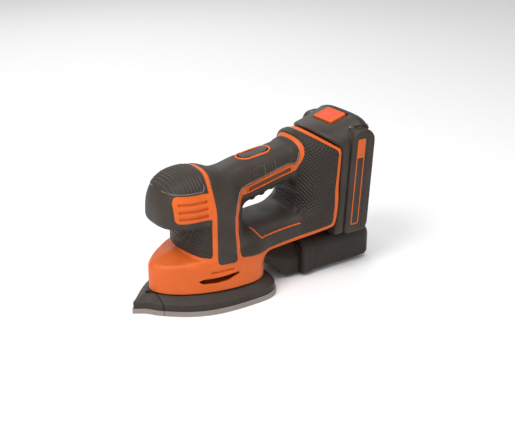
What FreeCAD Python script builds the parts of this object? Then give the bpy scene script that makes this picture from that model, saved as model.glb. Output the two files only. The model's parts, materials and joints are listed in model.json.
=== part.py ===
import FreeCAD
import Part
import Sketcher
import math
import os
from FreeCAD import Placement, Rotation, Vector

# Cordless detail mouse sander. +Z is up and the nose points to -X. The origin is on the
# sanding face, in the middle plane, half way along the pad.

doc = FreeCAD.newDocument("MouseSander")
sheet = doc.addObject("Spreadsheet::Sheet", "dims")

# Driving dimensions in millimetres and degrees.
SIZES = {
    # sanding pad, seen from above
    "pad_nose": 68.4, "pad_wide_at": 25, "pad_tail": 65.5, "pad_half_width": 47,
    "paper_thick": 1.2, "foam_thick": 3.3, "platen_wall": 6, "platen_slope": 5.5,
    "tip_length": 20.5, "tip_gap": 0.6, "pad_step": 1.2, "slope_inset": 11,
    "dust_hole_radius": 4, "tongue_reach": 8, "tongue_half_width": 6,
    # orange skirt, column and palm knob
    "skirt_nose": 49.5, "skirt_wide_at": 25, "skirt_tail": 58, "skirt_half_width": 38.5,
    "skirt_gap": 1.5, "skirt_front_top": 43, "skirt_top": 50,
    "column_at": 8, "column_half_length": 29, "column_half_width": 37, "column_top": 85,
    "column_dome": 28, "knob_at": -8, "knob_middle": 83.3, "knob_half_length": 37.5,
    "knob_half_width": 33, "knob_half_height": 41, "knob_bottom": 79,
    # walls and screws
    "skin": 1.4, "wall": 2.4, "screw_radius": 1.5, "screw_head_radius": 2.9,
    "screw_head_height": 2, "screw_length": 16, "gap": 0.6, "running": 0.05,
    # battery seat
    "seat_at": 125.9, "seat_height": 52, "lean": 4, "seat_half_width": 38,
    "slope_low": 124, "slope_high": 138, "slope_run": 21, "seat_clearance": 0.4,
    # drive
    "spindle_at": 6, "orbit": 0.8, "shaft_radius": 2.5, "can_radius": 20, "can_wall": 1.8,
    "can_length": 56, "armature_radius": 13.4, "armature_length": 34, "magnet_gap": 0.6,
    "plate_height": 33, "plate_thick": 3, "small_bearing_radius": 8, "small_bearing_height": 5,
    "platen_bearing_radius": 11, "platen_bearing_bore": 4, "platen_bearing_height": 7,
    "weight_radius": 15, "weight_height": 6.5, "fan_radius": 20, "fan_height": 6.5,
    "commutator_radius": 6, "commutator_length": 9,
    "post_radius": 4, "post_front": -22, "post_front_half": 13, "post_rear": 42,
    "post_rear_half": 22,
    # dust duct and canister
    "duct_half_width": 22, "duct_wall": 2, "canister_front": 97, "canister_length": 81,
    "canister_half_width": 27, "canister_height": 31, "canister_base": 4.5,
    "canister_wall": 2, "rim_length": 13, "rim_raise": 1.2, "spigot_length": 7,
    # battery pack
    "pack_half_width": 38, "bulge_half_width": 40, "pack_depth": 35, "bulge_at": 11,
    "pack_foot": -13, "pack_height": 97.5, "pack_wall": 2.2, "shell_split": 25,
    "cell_radius": 9.1, "cell_length": 65, "cell_pitch": 18.7, "cell_depth": 20.5,
    "rail_height": 6, "rail_half_width": 14, "rail_low": 15, "rail_top": 75,
    "button_at": 144.5, "button_height": 144.3, "button_slope": 16, "button_length": 19,
    "button_half_width": 13, "button_thick": 4, "button_travel": 3,
    # switch
    "switch_at": 58.8, "switch_height": 123.8, "switch_slope": 4.9, "switch_length": 35,
    "switch_half_width": 9, "rim_width": 2, "rocker_length": 29, "rocker_half_width": 6.6,
    "rocker_pin_radius": 1.5, "rocker_pin_drop": 6,
}
for row, (alias, value) in enumerate(SIZES.items(), start=1):
    sheet.set(f"A{row}", alias)
    sheet.set(f"B{row}", str(value))
    sheet.setAlias(f"B{row}", alias)
doc.recompute()


def dim(alias):
    """A driving dimension, read from the sheet."""
    return float(sheet.get(alias))


pieces = []


def keep(label, feature):
    """Names a finished sub-part, so that it is checked and written."""
    feature.Label = label
    pieces.append(feature)
    return feature


def shape_piece(label, shape, placement=None):
    """A sub-part whose shape is made by Part's own functions."""
    feature = doc.addObject("Part::Feature", label)
    feature.Shape = shape
    if placement is not None:
        feature.Placement = placement
    return keep(label, feature)


def bind(feature, sizes, at=("0", "0", "0"), rotation=None):
    """Ties a primitive's sizes and place to the sheet."""
    if rotation is not None:
        feature.Placement = Placement(Vector(), rotation)
    for name, expression in sizes.items():
        feature.setExpression(name, expression)
    for axis, expression in zip("xyz", at):
        feature.setExpression(f"Placement.Base.{axis}", expression)
    return feature


def cylinder(radius, height, at=("0", "0", "0"), rotation=None):
    feature = doc.addObject("Part::Cylinder", "round")
    return bind(feature, {"Radius": radius, "Height": height}, at, rotation)


def box(length, width, height, at=("0", "0", "0"), rotation=None):
    feature = doc.addObject("Part::Box", "block")
    return bind(feature, {"Length": length, "Width": width, "Height": height}, at, rotation)


def cut(base, tool):
    feature = doc.addObject("Part::Cut", "less")
    feature.Base, feature.Tool = base, tool
    return feature


def fuse(*shapes):
    feature = doc.addObject("Part::MultiFuse", "joined")
    feature.Shapes = list(shapes)
    return feature


def group(*shapes):
    """Like pieces that share one node, as separate solids."""
    feature = doc.addObject("Part::Compound", "set")
    feature.Links = list(shapes)
    return feature


LEAN = Rotation(Vector(0, 1, 0), dim("lean"))


# ---------------------------------------------------------------- outlines
def teardrop(nose, wide_at, tail, half_width, sharp, swell, square, inset, height, count=9):
    """Closed plan outline: a nose at -X that swells to its widest and ends in a squarish tail."""
    nose, tail, half_width = nose - inset, tail - inset, half_width - inset
    half = []
    for i in range(count):
        s = (i / (count - 1)) ** 1.35
        half.append((-nose + s * (wide_at + nose), half_width * (1 - (1 - s) ** sharp) ** swell))
    for i in range(1, count):
        t = math.sin(i / (count - 1) * math.pi / 2)
        width = half_width * max(0.0, 1 - t**square) ** (1 / square)
        half.append((wide_at + t * (tail - wide_at), width))
    points = [Vector(x, y, height) for x, y in half]
    points += [Vector(x, -y, height) for x, y in half[-2:0:-1]]
    curve = Part.BSplineCurve()
    curve.interpolate(Points=points, PeriodicFlag=True)
    return Part.Wire(curve.toShape())


def pad_outline(inset, height):
    return teardrop(dim("pad_nose"), dim("pad_wide_at"), dim("pad_tail"), dim("pad_half_width"),
                    2.9, 1.2, 3.6, inset, height)


def skirt_outline(inset, height):
    return teardrop(dim("skirt_nose"), dim("skirt_wide_at"), dim("skirt_tail"),
                    dim("skirt_half_width"), 2.0, 0.58, 2.6, inset, height)


def prism(wire, up):
    return Part.Face(wire).extrude(Vector(0, 0, up))


def section(x, low, high, half_width, square, count=20):
    """Closed superellipse in the plane across X, between two heights."""
    middle, half_height = (low + high) / 2, (high - low) / 2
    points = []
    for i in range(count):
        a = 2 * math.pi * i / count
        c, s = math.cos(a), math.sin(a)
        points.append(Vector(x, half_width * math.copysign(abs(c) ** (2 / square), c),
                             middle + half_height * math.copysign(abs(s) ** (2 / square), s)))
    curve = Part.BSplineCurve()
    curve.interpolate(Points=points, PeriodicFlag=True)
    return Part.Wire(curve.toShape())


def loft_along_x(stations, inset):
    """Smooth solid through stations (x, low, high, half_width, square), all taken in by inset."""
    wires = []
    last = len(stations) - 1
    for i, (x, low, high, half_width, square) in enumerate(stations):
        x += inset if i == 0 else -inset if i == last else 0
        wires.append(section(x, low + inset, high - inset, half_width - inset, square))
    return Part.makeLoft(wires, True, False)


def side_prism(points, half_width):
    """Side-view outline of (x, z) points, as thick as the object is wide."""
    ring = [Vector(x, -half_width, z) for x, z in points]
    return Part.Face(Part.makePolygon(ring + ring[:1])).extrude(Vector(0, 2 * half_width, 0))


# ---------------------------------------------------------------- body shape
skirt_base = (dim("paper_thick") + dim("foam_thick") + dim("platen_wall") + dim("platen_slope")
              + dim("skirt_gap"))
lean = math.radians(dim("lean"))
FAR = 400.0


def seat_point(away, up):
    """A point of the battery seat's own frame, as (x, z)."""
    return (dim("seat_at") + away * math.cos(lean) + up * math.sin(lean),
            dim("seat_height") - away * math.sin(lean) + up * math.cos(lean))


def seat_x(height, away=0.0):
    """Where the leaning seat plane is at a height."""
    return dim("seat_at") + away / math.cos(lean) + (height - dim("seat_height")) * math.tan(lean)


def tool_side(away):
    """Side view of everything in front of the battery, which stops away from the seat."""
    low, high = dim("slope_low"), dim("slope_high")
    corner = seat_x(low, -away)
    rise = (high - low) / dim("slope_run")
    return [(-FAR, -FAR), (seat_x(-FAR, -away), -FAR), (corner, low - away * rise),
            (corner - FAR, low - away * rise + FAR * rise), (-FAR, FAR)]


def ellipsoid(x, z, half_length, half_width, half_height):
    ball = Part.makeSphere(1.0)
    stretch = FreeCAD.Matrix()
    stretch.scale(half_length, half_width, half_height)
    return ball.transformGeometry(stretch).translated(Vector(x, 0, z))


HANDLE = [(-6, 78, 115.5, 27, 2.3), (20, 77, 117, 23, 2.4), (45, 79.5, 122.2, 19.8, 2.6),
          (75, 87.3, 125.8, 19.2, 2.6), (108, 93, 130, 20.5, 2.6)]
BEAM = [(18, 43, 68, 35.5, 3.0), (60, 43.5, 65.5, 29, 2.8), (95, 46, 67, 31, 3.0),
        (128, 48.5, 90, 37, 4.0)]


def tower_stations():
    wide = dim("seat_half_width")
    return [(88, 73, 132, 20.5, 3.0), (108, 53, 136.5, 32, 4.0),
            (122, 50, 137.8, wide - 1, 5.0), (140, 51, 138, wide, 6.0)]


def body_solid(inset):
    """The whole outer form of the two housing halves, taken in by inset."""
    floor = skirt_base if inset == 0 else skirt_base + (0 if inset < 2 else -5)
    skirt = prism(skirt_outline(inset, floor), dim("skirt_top") - inset - floor)
    rise = (dim("skirt_top") - dim("skirt_front_top")) / 22.0
    nose = -dim("skirt_nose")
    top = dim("skirt_front_top") - inset
    skirt = skirt.common(side_prism([(nose - 5, 0), (FAR, 0), (FAR, top + rise * (FAR - nose)),
                                     (nose - 5, top - rise * 5)], FAR))
    column = Part.makeCylinder(1.0, dim("column_top") - 40, Vector(0, 0, 40))
    oval = FreeCAD.Matrix()
    long, wide = dim("column_half_length") - inset, dim("column_half_width") - inset
    oval.scale(long, wide, 1)
    column = column.transformGeometry(oval).translated(Vector(dim("column_at"), 0, 0))
    cap = ellipsoid(dim("column_at"), dim("column_top"), long, wide,
                    dim("column_dome") - inset)
    knob = ellipsoid(dim("knob_at"), dim("knob_middle"), dim("knob_half_length") - inset,
                     dim("knob_half_width") - inset, dim("knob_half_height") - inset)
    above = Part.makeBox(FAR, FAR, FAR, Vector(-FAR / 2, -FAR / 2, dim("knob_bottom") + inset))
    knob = knob.common(above)
    handle = loft_along_x(HANDLE, inset)
    beam = loft_along_x(BEAM, inset)
    tower = loft_along_x(tower_stations(), inset)
    whole = skirt.fuse([column, cap, knob, handle, beam, tower])
    return whole.common(side_prism(tool_side(inset), FAR))


outer = body_solid(0)
under_skin = body_solid(dim("skin"))
hollow = body_solid(dim("skin") + dim("wall"))

# Side-view regions where a dark skin covers the orange shell.
BAND = 3.6
PALM_PAD = [(-60, 110.5), (-9, 110.5), (-6, 140), (-60, 140)]
PALM_CAP = [(-60, 78.5), (-5, 78.5), (-5, 86.5), (-34, 86.5), (-34, 108), (-5, 108), (-5, 110.5),
            (-60, 110.5)]
NECK = [(-44, 78), (-44, 60), (-24, 52.5), (-14, 49.5), (-5, 49.2), (-5, 78)]
GRIP = [(-1, 140), (-1, 44.5), (2, 42), (14, 42), (18.5, 45), (18.5, 84), (27, 97), (40, 103),
        (88, 115), (95, 113.5), (98.5, 118), (97.5, 125), (91, 140)]
FRAME = [(24, 49), (60, 51.5), (122, 55.5), (127.3, 122), (107, 136.2), (96, 142), (93.5, 134.8),
         (102.5, 126), (103, 115), (97, 107.5), (90, 108), (44, 98), (31, 93.5), (24, 84)]


def one_side(shape, side):
    """The left (side -1) or right (side +1) half of a shape."""
    block = Part.makeBox(2 * FAR, FAR, 2 * FAR, Vector(-FAR, 0 if side > 0 else -FAR, -FAR))
    return shape.common(block)


def largest(shape):
    return max(shape.Solids, key=lambda s: s.Volume)


REGIONS = {"palm_pad": PALM_PAD, "palm_cap": PALM_CAP, "neck_skin": NECK, "grip": GRIP,
           "frame_skin": FRAME}
skins = {}
for name, region in REGIONS.items():
    skins[name] = outer.common(side_prism(region, FAR)).cut(under_skin)
core = outer.cut(Part.makeCompound(list(skins.values()))).cut(hollow)
for name in ("palm_pad", "palm_cap", "neck_skin"):
    shape_piece(name, largest(skins[name]))
SCREWS = [(-22, 112.5), (-36, 25), (16, 104), (84, 108), (44, 59), (104, 62), (112, 120)]
boss_radius = 2.6 * dim("screw_radius")


# ---------------------------------------------------------------- sketch-based bodies
def sketch_on(body, role, name):
    """A sketch on one of the body's own origin planes."""
    sketch = body.newObject("Sketcher::SketchObject", name)
    plane = next(f for f in body.Origin.OriginFeatures if f.Role == role)
    sketch.AttachmentSupport = [(plane, "")]
    sketch.MapMode = "FlatFace"
    return sketch


def turned(label, profile, axis_at="spindle_at"):
    """A ring-like body: the closed (radius, height) profile is turned about an upright axis."""
    body = doc.addObject("PartDesign::Body", label)
    sketch = sketch_on(body, "XZ_Plane", "profile")
    points = [Vector(dim(radius), dim(height), 0) for radius, height in profile]
    count = len(points)
    for i in range(count):
        sketch.addGeometry(Part.LineSegment(points[i], points[(i + 1) % count]))
    for i in range(count):
        sketch.addConstraint(Sketcher.Constraint("Coincident", i, 2, (i + 1) % count, 1))
    for i, place in enumerate(profile):
        for kind, alias in zip(("DistanceX", "DistanceY"), place):
            index = sketch.addConstraint(Sketcher.Constraint(kind, -1, 1, i, 1, dim(alias)))
            sketch.setExpression(f"Constraints[{index}]", f"dims.{alias}")
    turn = body.newObject("PartDesign::Revolution", "turn")
    turn.Profile = sketch
    turn.ReferenceAxis = (sketch, ["V_Axis"])
    turn.Angle = 360
    body.Tip = turn
    body.setExpression("Placement.Base.x", f"dims.{axis_at}")
    return keep(label, body)


def padded_disc(body, name, radius, low, height):
    """A round pad added to a body, from one height up to another."""
    sketch = sketch_on(body, "XY_Plane", name)
    sketch.addGeometry(Part.Circle(Vector(), Vector(0, 0, 1), dim(radius)))
    sketch.addConstraint(Sketcher.Constraint("Coincident", 0, 3, -1, 1))
    index = sketch.addConstraint(Sketcher.Constraint("Radius", 0, dim(radius)))
    sketch.setExpression(f"Constraints[{index}]", f"dims.{radius}")
    sketch.setExpression("AttachmentOffset.Base.z", f"dims.{low}")
    pad = body.newObject("PartDesign::Pad", f"{name}_pad")
    pad.Profile = sketch
    pad.setExpression("Length", f"dims.{height}")
    body.Tip = pad
    return pad


# Heights and radii of the drive, worked out in the sheet from the sizes above.
DERIVED = {
    "pad_top": "=paper_thick + foam_thick + platen_wall + platen_slope",
    "platen_low": "=paper_thick + foam_thick",
    "platen_shoulder": "=platen_low + platen_wall",
    "seat_floor": "=platen_low + 4",
    "bearing_top": "=seat_floor + platen_bearing_height",
    "weight_low": "=pad_top + 1.3",
    "weight_top": "=weight_low + weight_height",
    "fan_low": "=weight_top + 0.7",
    "fan_disc": "=1.2",
    "plate_top": "=plate_height + plate_thick",
    "can_top": "=plate_top + can_length",
    "can_floor": "=plate_top + 2",
    "can_bore": "=can_radius - can_wall",
    "small_bearing_low": "=plate_height",
    "small_bearing_top": "=plate_height + small_bearing_height",
    "small_bearing_bore": "=shaft_radius + running",
    "cap_top": "=can_top + 3",
    "collar_radius": "=small_bearing_radius + 2.5",
    "collar_top": "=can_top + 7",
    "upper_bearing_low": "=collar_top - small_bearing_height",
    "armature_low": "=plate_top + 9",
    "armature_top": "=armature_low + armature_length",
    "magnet_radius": "=armature_radius + magnet_gap",
    "magnet_low": "=armature_low - 1",
    "magnet_top": "=armature_top + 1",
    "commutator_low": "=armature_top + 2",
    "commutator_top": "=commutator_low + commutator_length",
    "brush_radius": "=commutator_radius + running",
    "shaft_length": "=collar_top + 1 - weight_low",
    "pin_radius": "=platen_bearing_bore - running",
    "pin_length": "=weight_low - seat_floor - 0.6",
    "fan_hub": "=shaft_radius + 3",
    "platen_axis": "=spindle_at + orbit",
    "socket_radius": "=post_radius + orbit + 0.6",
    "post_low": "=pad_top - 4",
    "post_length": "=plate_height - post_low",
}
for row, (alias, formula) in enumerate(DERIVED.items(), start=len(SIZES) + 1):
    sheet.set(f"A{row}", alias)
    sheet.set(f"B{row}", formula)
    sheet.setAlias(f"B{row}", alias)
doc.recompute()

# ---------------------------------------------------------------- sanding pad
split = dim("tip_length") - dim("pad_nose")
half_gap = dim("tip_gap") / 2
tip_block = Part.makeBox(FAR, 2 * FAR, FAR, Vector(split - half_gap - FAR, -FAR, -1))
main_block = Part.makeBox(FAR, 2 * FAR, FAR, Vector(split + half_gap, -FAR, -1))
DUST_HOLES = [(-12, 24), (30, 12), (14, 31), (-12, -24), (30, -12), (14, -31), (54, 0), (-38, 0)]
dust_radius = dim("dust_hole_radius")
dust_holes = Part.makeCompound([
    Part.makeCylinder(dust_radius, 40, Vector(x, y, -5)) for x, y in DUST_HOLES])


def pad_layer(low, high, inset=0.0):
    return prism(pad_outline(inset, low), high - low)


paper_top, pad_low = dim("paper_thick"), dim("platen_low")
for name, low, high in (("sanding_sheet", 0, paper_top), ("hook_pad", paper_top, pad_low)):
    layer = pad_layer(low, high)
    shape_piece(name, layer.common(main_block).cut(dust_holes))
    shape_piece(f"{name}_tip", layer.common(tip_block))

shoulder = dim("platen_shoulder")
inset_low, inset_high = dim("pad_step"), dim("slope_inset")
slope = Part.makeLoft([pad_outline(inset_low, shoulder), pad_outline(inset_high, dim("pad_top"))],
                      True, True)
plate = pad_layer(pad_low, shoulder, inset_low).fuse(slope)
tongue = Part.makeBox(dim("tongue_reach"), 2 * dim("tongue_half_width"), 3,
                      Vector(split - dim("tongue_reach"), -dim("tongue_half_width"), pad_low + 2))
tongue = tongue.fuse(tongue.translated(Vector(2 * half_gap + 0.5, 0, 0)))
screw_at = Vector(split - dim("tongue_reach") / 2, 0, pad_low)
tip_bore = Part.makeCylinder(dim("screw_radius"), 9, screw_at)
tip_sink = Part.makeCylinder(dim("screw_head_radius"), 20, screw_at + Vector(0, 0, 6.5))
posts = [(dim(f"post_{end}"), side * dim(f"post_{end}_half"))
         for end in ("front", "rear") for side in (-1, 1)]
sockets = [Part.makeCylinder(dim("socket_radius"), 20,
                             Vector(x + dim("orbit"), y, dim("post_low") - 1.4))
           for x, y in posts]
bearing_seat = Part.makeCylinder(dim("platen_bearing_radius"), 20,
                                 Vector(dim("platen_axis"), 0, dim("seat_floor")))
shape_piece("platen", plate.common(main_block).fuse(tongue)
            .cut(Part.makeCompound([dust_holes, tip_bore, bearing_seat] + sockets)))
shape_piece("platen_tip", plate.common(tip_block).cut(tongue).cut(tip_bore.fuse(tip_sink)))
screw_top = tip_sink.common(Part.makeCylinder(dim("screw_head_radius"), 2,
                                              screw_at + Vector(0, 0, 6.5)))
shape_piece("tip_screw", screw_top.fuse(Part.makeCylinder(dim("screw_radius"), 6.5, screw_at)))
turned("platen_bearing", [("platen_bearing_bore", "seat_floor"),
                          ("platen_bearing_radius", "seat_floor"),
                          ("platen_bearing_radius", "bearing_top"),
                          ("platen_bearing_bore", "bearing_top")], "platen_axis")

# ---------------------------------------------------------------- motor, in the column
small, can, bore = "small_bearing_radius", "can_radius", "can_bore"
for name, low, high in (("lower_bearing", "small_bearing_low", "small_bearing_top"),
                        ("upper_bearing", "upper_bearing_low", "collar_top")):
    turned(name, [("small_bearing_bore", low), (small, low), (small, high),
                  ("small_bearing_bore", high)])
turned("motor_can", [(small, "plate_top"), (can, "plate_top"), (can, "can_top"),
                     (bore, "can_top"), (bore, "can_floor"), (small, "can_floor")])
turned("motor_end_cap", [(small, "can_top"), (can, "can_top"), (can, "cap_top"),
                         ("collar_radius", "cap_top"), ("collar_radius", "collar_top"),
                         (small, "collar_top")])
turned("armature", [("shaft_radius", "armature_low"), ("armature_radius", "armature_low"),
                    ("armature_radius", "armature_top"), ("shaft_radius", "armature_top")])
turned("commutator", [("shaft_radius", "commutator_low"), ("commutator_radius", "commutator_low"),
                      ("commutator_radius", "commutator_top"), ("shaft_radius", "commutator_top")])

shaft = doc.addObject("PartDesign::Body", "motor_shaft")
padded_disc(shaft, "round", "shaft_radius", "weight_low", "shaft_length")
shaft.setExpression("Placement.Base.x", "dims.spindle_at")
keep("motor_shaft", shaft)

magnets = cut(cylinder("dims.can_bore", "dims.magnet_top - dims.magnet_low",
                       ("dims.spindle_at", "0", "dims.magnet_low")),
              fuse(cylinder("dims.magnet_radius", "dims.can_length",
                            ("dims.spindle_at", "0", "dims.magnet_low - 1")),
                   box("16", "80", "dims.can_length",
                       ("dims.spindle_at - 8", "-40", "dims.magnet_low - 1"))))
keep("motor_magnets", magnets)

brush_boxes = [box("dims.can_bore - dims.brush_radius - 1", "5", "5",
                   ("dims.spindle_at + dims.brush_radius" if side > 0 else
                    "dims.spindle_at - dims.can_bore + 1", "-2.5", "dims.commutator_low + 2"))
               for side in (-1, 1)]
keep("motor_brushes", group(*brush_boxes))

# The weight is heavy on the side away from the crank pin, which drives the pad's bearing.
weight = cut(fuse(cut(cylinder("dims.weight_radius", "dims.weight_height",
                               ("dims.spindle_at", "0", "dims.weight_low")),
                      box("40", "60", "20",
                          ("dims.spindle_at", "-30", "dims.weight_low - 5"))),
                  cylinder("dims.fan_hub + 1", "dims.weight_height",
                           ("dims.spindle_at", "0", "dims.weight_low")),
                  cylinder("dims.pin_radius", "dims.pin_length",
                           ("dims.platen_axis", "0", "dims.weight_low - dims.pin_length"))),
             cylinder("dims.shaft_radius", "30", ("dims.spindle_at", "0", "dims.weight_low")))
keep("eccentric_weight", weight)

BLADES = 9
blade_shapes = []
for i in range(BLADES):
    turn = Rotation(Vector(0, 0, 1), 360 * i / BLADES)
    blade_shapes.append(bind(doc.addObject("Part::Box", "blade"),
                             {"Length": "dims.fan_radius - dims.fan_hub + 0.5",
                              "Width": "1.4", "Height": "dims.fan_height"},
                             (f"dims.spindle_at + cos({360 * i / BLADES}) * (dims.fan_hub - 0.5)",
                              f"sin({360 * i / BLADES}) * (dims.fan_hub - 0.5)",
                              "dims.fan_low"), turn))
fan = cut(fuse(cylinder("dims.fan_hub", "dims.fan_height", ("dims.spindle_at", "0", "dims.fan_low")),
               cylinder("dims.fan_radius", "dims.fan_disc",
                        ("dims.spindle_at", "0", "dims.fan_low")), *blade_shapes),
          cylinder("dims.shaft_radius", "30", ("dims.spindle_at", "0", "dims.fan_low - 5")))
keep("cooling_fan", fan)

inner = dim("skin") + dim("wall")
bearing_plate = prism(skirt_outline(inner, dim("plate_height")), dim("plate_thick"))
plate_bore = Part.makeCylinder(dim("small_bearing_radius"), 20,
                               Vector(dim("spindle_at"), 0, dim("plate_height") - 5))
shape_piece("bearing_plate", bearing_plate.cut(plate_bore))
keep("isolator_posts", group(*[
    cylinder("dims.post_radius", "dims.post_length", (f"dims.post_{end}",
             f"{side} * dims.post_{end}_half", "dims.post_low"))
    for end in ("front", "rear") for side in (-1, 1)]))

# ---------------------------------------------------------------- battery and its seat
def seated(shape):
    """Moves a shape from the seat's own frame, x away from the seat and z up along it."""
    moved = shape.copy()
    moved.Placement = Placement(Vector(dim("seat_at"), 0, dim("seat_height")), LEAN)
    return moved


def block(low, high):
    """A plain box between two corners."""
    size = [b - a for a, b in zip(low, high)]
    return Part.makeBox(*size, Vector(*low))


def soft_block(low, high, radius):
    """A box whose edges along z and along the top and bottom are rounded."""
    solid = block(low, high)
    return solid.makeFillet(radius, solid.Edges)


CROWN = [(100, 112, 137.2, 30, 2.6), (125, 114, 140, 36, 2.7), (145, 118, 144.6, 37.5, 2.8),
         (159, 120, 148.6, 38, 3.0), (166.5, 122, 146.0, 37, 3.0)]


def pack_solid(inset):
    """The battery's outer form, taken in by inset."""
    half, foot, top = dim("pack_half_width"), dim("pack_foot"), dim("pack_foot") + dim("pack_height")
    depth, bulge = dim("pack_depth"), dim("bulge_half_width")
    body = soft_block((-8, -half + inset, foot + inset), (depth - inset, half - inset, top - inset),
                      5.0 - inset)
    sides = soft_block((dim("bulge_at") + inset, -bulge + inset, foot + inset),
                       (depth + 1 - inset, bulge - inset, top + 3 - inset), 6.0 - inset)
    crown = loft_along_x(CROWN, inset)
    away = dim("seat_clearance") + inset
    return (seated(body).fuse([seated(sides), crown])
            .cut(side_prism(tool_side(-away), FAR)))


rail_half, rail = dim("rail_half_width"), dim("rail_height")
slack = dim("seat_clearance") + 0.5
recess = seated(block((-1, -rail_half - slack, -40),
                      (rail + 1.4, rail_half + slack, dim("rail_top") + 1.5)))
recess_wall = seated(block((-1, -rail_half - slack - 2, -40),
                           (rail + 3.2, rail_half + slack + 2, dim("rail_top") + 3.5)))
pack_outer, pack_inner = pack_solid(0), pack_solid(dim("pack_wall"))
pack_shell = pack_outer.cut(pack_inner).fuse(recess_wall.common(pack_outer)).cut(recess)
slope_turn = Rotation(Vector(0, 1, 0), -dim("button_slope"))
button_place = Placement(Vector(dim("button_at"), 0, dim("button_height")), slope_turn)
button_long, button_half = dim("button_length") / 2, dim("button_half_width")


def on_slope(shape):
    moved = shape.copy()
    moved.Placement = button_place
    return moved


fit = 0.4
well = on_slope(block((-button_long - fit, -button_half - fit, -12),
                      (button_long + fit, button_half + fit, 20)))
pack_shell = pack_shell.cut(well)
split_at = dim("shell_split")
PACK_SCREWS = [(-28, 88), (28, 88), (-30, -9.8), (30, -9.8)]
bores = seated(Part.makeCompound([
    Part.makeCylinder(dim("screw_radius"), 22, Vector(split_at - 11, y, z), Vector(1, 0, 0))
    for y, z in PACK_SCREWS]))
pegs = seated(Part.makeCompound([
    Part.makeCylinder(1.9, 60, Vector(split_at - 12, y, z), Vector(1, 0, 0))
    for y, z in PACK_SCREWS])).common(pack_inner)
front_part = seated(block((-60, -FAR, -FAR), (split_at, FAR, FAR)))
rear_part = seated(block((split_at, -FAR, -FAR), (FAR, FAR, FAR)))
pack_whole = pack_shell.fuse(pegs).cut(bores)
shape_piece("battery_front_shell", largest(pack_whole.common(front_part)))
shape_piece("battery_rear_shell", largest(pack_whole.common(rear_part)))
shape_piece("battery_screws", bores)

cell_depth, pitch = dim("cell_depth"), dim("cell_pitch")
cell_r, cell_long = dim("cell_radius"), dim("cell_length")
cells = [Part.makeCylinder(cell_r, cell_long, Vector(cell_depth, -cell_long / 2, 1 + i * pitch),
                           Vector(0, 1, 0)) for i in range(5)]
shape_piece("battery_cells", seated(Part.makeCompound(cells)))
ends = []
for side in (-1, 1):
    wall_low = side * cell_long / 2 - (2.5 if side < 0 else 3)
    holder = block((cell_depth - 6, wall_low, -6), (cell_depth + 6, wall_low + 5.5, 82))
    ends.append(holder.cut(Part.makeCompound(cells)))
shape_piece("cell_holder", seated(Part.makeCompound(ends)))
shape_piece("battery_board", seated(block((cell_depth - 4.5, -22, 85.3),
                                          (cell_depth + 9, 22, 86.3))))
contact_bed = rail + 1.4
shape_piece("battery_contacts", seated(Part.makeCompound([
    block((contact_bed - 0.4, y - 1.5, 56), (contact_bed, y + 1.5, 68)) for y in (-9, 0, 9)])))
shape_piece("terminal_block", seated(block((0, -rail_half, dim("rail_low")),
                                           (rail, rail_half, dim("rail_top")))))
shape_piece("terminal_blades", seated(Part.makeCompound([
    block((rail, y - 1.5, 56), (rail + 0.5, y + 1.5, 68)) for y in (-9, 0, 9)])))

thick = dim("button_thick")
button = block((-button_long, -button_half, -thick), (button_long, button_half, 0))
button = button.makeFillet(1.2, [e for e in button.Edges if e.CenterOfMass.z > -thick / 2])
shape_piece("release_button", on_slope(button))

spring_at, spring_low = dim("button_at") - 5, 133.6
leaves = []
for i in range(3):
    side, low = (-1) ** i, spring_low + 1.25 * i
    ends = [Vector(spring_at - 3 * side, -3, low), Vector(spring_at + 3 * side, -3, low + 1.25)]
    ring = ends + [end + Vector(0, 0, 0.45) for end in reversed(ends)]
    leaves.append(Part.Face(Part.makePolygon(ring + ring[:1])).extrude(Vector(0, 6, 0)))
shape_piece("latch_spring", leaves[0].fuse(leaves[1:]))
shelf = block((spring_at - 5, -30, spring_low - 1.5), (spring_at + 4, 30, spring_low))
shape_piece("spring_shelf", shelf)

# ---------------------------------------------------------------- switch on the handle
switch_turn = Rotation(Vector(0, 1, 0), -dim("switch_slope"))
switch_place = Placement(Vector(dim("switch_at"), 0, dim("switch_height")), switch_turn)


def stadium(length, half_width, low, high):
    """A flat block with round ends, centred on the switch."""
    reach = length / 2 - half_width
    solid = block((-reach, -half_width, low), (reach, half_width, high))
    for side in (-1, 1):
        solid = solid.fuse(Part.makeCylinder(half_width, high - low,
                                             Vector(side * reach, 0, low)))
    return solid.removeSplitter()


def on_handle(shape):
    moved = shape.copy()
    moved.Placement = switch_place
    return moved


switch_long, switch_half, rim = dim("switch_length"), dim("switch_half_width"), dim("rim_width")
bezel = stadium(switch_long, switch_half, -3.4, 0.9).cut(
    stadium(switch_long - 2 * rim, switch_half - rim + 0.6, -5, 5))
bezel_hole = on_handle(stadium(switch_long, switch_half, -3.4, 30))
throat = on_handle(stadium(switch_long - 2 * rim, switch_half - rim + 0.6, -8, 30))
shape_piece("switch_bezel", on_handle(bezel))
drop, pin = dim("rocker_pin_drop"), dim("rocker_pin_radius")
rocker = stadium(dim("rocker_length"), dim("rocker_half_width"), -3, 1.4)
stem = block((-2, -3.4, -drop - 1), (2, 3.4, -2.5))
axle = Part.makeCylinder(pin, 13, Vector(0, -6.5, -drop), Vector(0, 1, 0))
shape_piece("switch_rocker", on_handle(rocker.fuse([stem, axle])))
base = block((-14, -8, -25), (14, 8, -drop - 3.5))
for side in (-1, 1):
    y = 4.2 if side > 0 else -6.4
    base = base.fuse(block((-3, y, -drop - 4), (3, y + 2.2, -drop + 2)))
axle_bore = Part.makeCylinder(pin + dim("running"), 20, Vector(0, -10, -drop), Vector(0, 1, 0))
shape_piece("switch_body", on_handle(base.cut(axle_bore)))

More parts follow.
